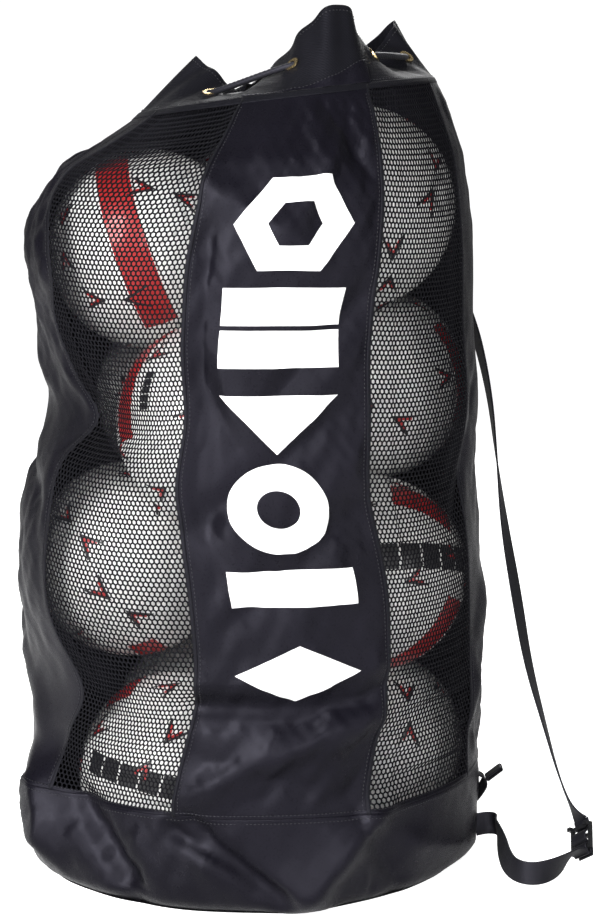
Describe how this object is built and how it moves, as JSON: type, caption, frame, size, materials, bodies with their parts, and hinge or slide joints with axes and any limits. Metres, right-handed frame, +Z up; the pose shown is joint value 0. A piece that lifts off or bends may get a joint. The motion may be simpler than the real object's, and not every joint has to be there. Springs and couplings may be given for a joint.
{
  "type": "mesh ball bag",
  "caption": "Tall drawstring sack of nylon and net panels, full of footballs, with a gathered collar, brass eyelets, a shoulder strap and a grab loop.",
  "frame": {"origin": "middle of the flat base, on the floor", "axes": "+Z up along the bag, -Y the printed front, +X towards the shoulder strap"},
  "size_m": [0.6496, 0.5288, 0.9479],
  "materials": {
    "nylon": "coated plain-weave nylon, faint sheen",
    "net": "knitted hexagonal mesh",
    "binding": "woven tape",
    "collar_canvas": "ribbed canvas",
    "brass": "polished",
    "cord": "braided cord",
    "webbing": "ribbed webbing",
    "buckle_plastic": "moulded",
    "ball_skin": "glossy synthetic leather"
  },
  "bodies": {
    "bag": {"base_disc": "nylon", "base_cup": "nylon", "cup_seam": "nylon", "front_panel": "nylon", "back_panel": "nylon", "side_panel_left": "nylon", "side_panel_right": "nylon", "net_left": "net", "net_right": "net", "seam_front_left": "binding", "seam_front_right": "binding", "seam_back_left": "binding", "seam_back_right": "binding", "seam_side_left": "binding", "seam_side_right": "binding", "collar": "collar_canvas", "collar_seam": "binding", "eyelets": "brass", "eyelet_washers": "brass", "drawcord": "cord", "cord_knot": "cord", "cord_tails": "cord", "strap_tab_top": "webbing", "strap_tab_bottom": "webbing", "ball_01": "ball_skin", "ball_02": "ball_skin", "ball_03": "ball_skin", "ball_04": "ball_skin", "ball_05": "ball_skin", "ball_06": "ball_skin", "ball_07": "ball_skin", "ball_08": "ball_skin", "ball_09": "ball_skin", "ball_10": "ball_skin", "ball_11": "ball_skin", "ball_12": "ball_skin"},
    "shoulder_strap": {"strap_upper": "webbing", "strap_lower": "webbing"},
    "buckle": {"ladder_lock": "buckle_plastic"},
    "loop": {"grab_loop": "webbing"}
  },
  "joints": [
    {"name": "strap_swing", "type": "hinge", "parent": "bag", "child": "shoulder_strap", "pos_m": [0.134, 0.184, 0.838], "axis": [-0.1726, 0.2817, 0.9438], "range_deg": [-20, 12]},
    {"name": "buckle_tilt", "type": "hinge", "parent": "shoulder_strap", "child": "buckle", "pos_m": [0.374, -0.083, 0.03], "axis": [-0.5192, 0.6789, -0.5192], "range_deg": [-15, 15]},
    {"name": "loop_fold", "type": "hinge", "parent": "bag", "child": "loop", "pos_m": [0.27243, -0.02569, 0.084], "axis": [0, 1, 0], "range_deg": [-30, 60]}
  ]
}
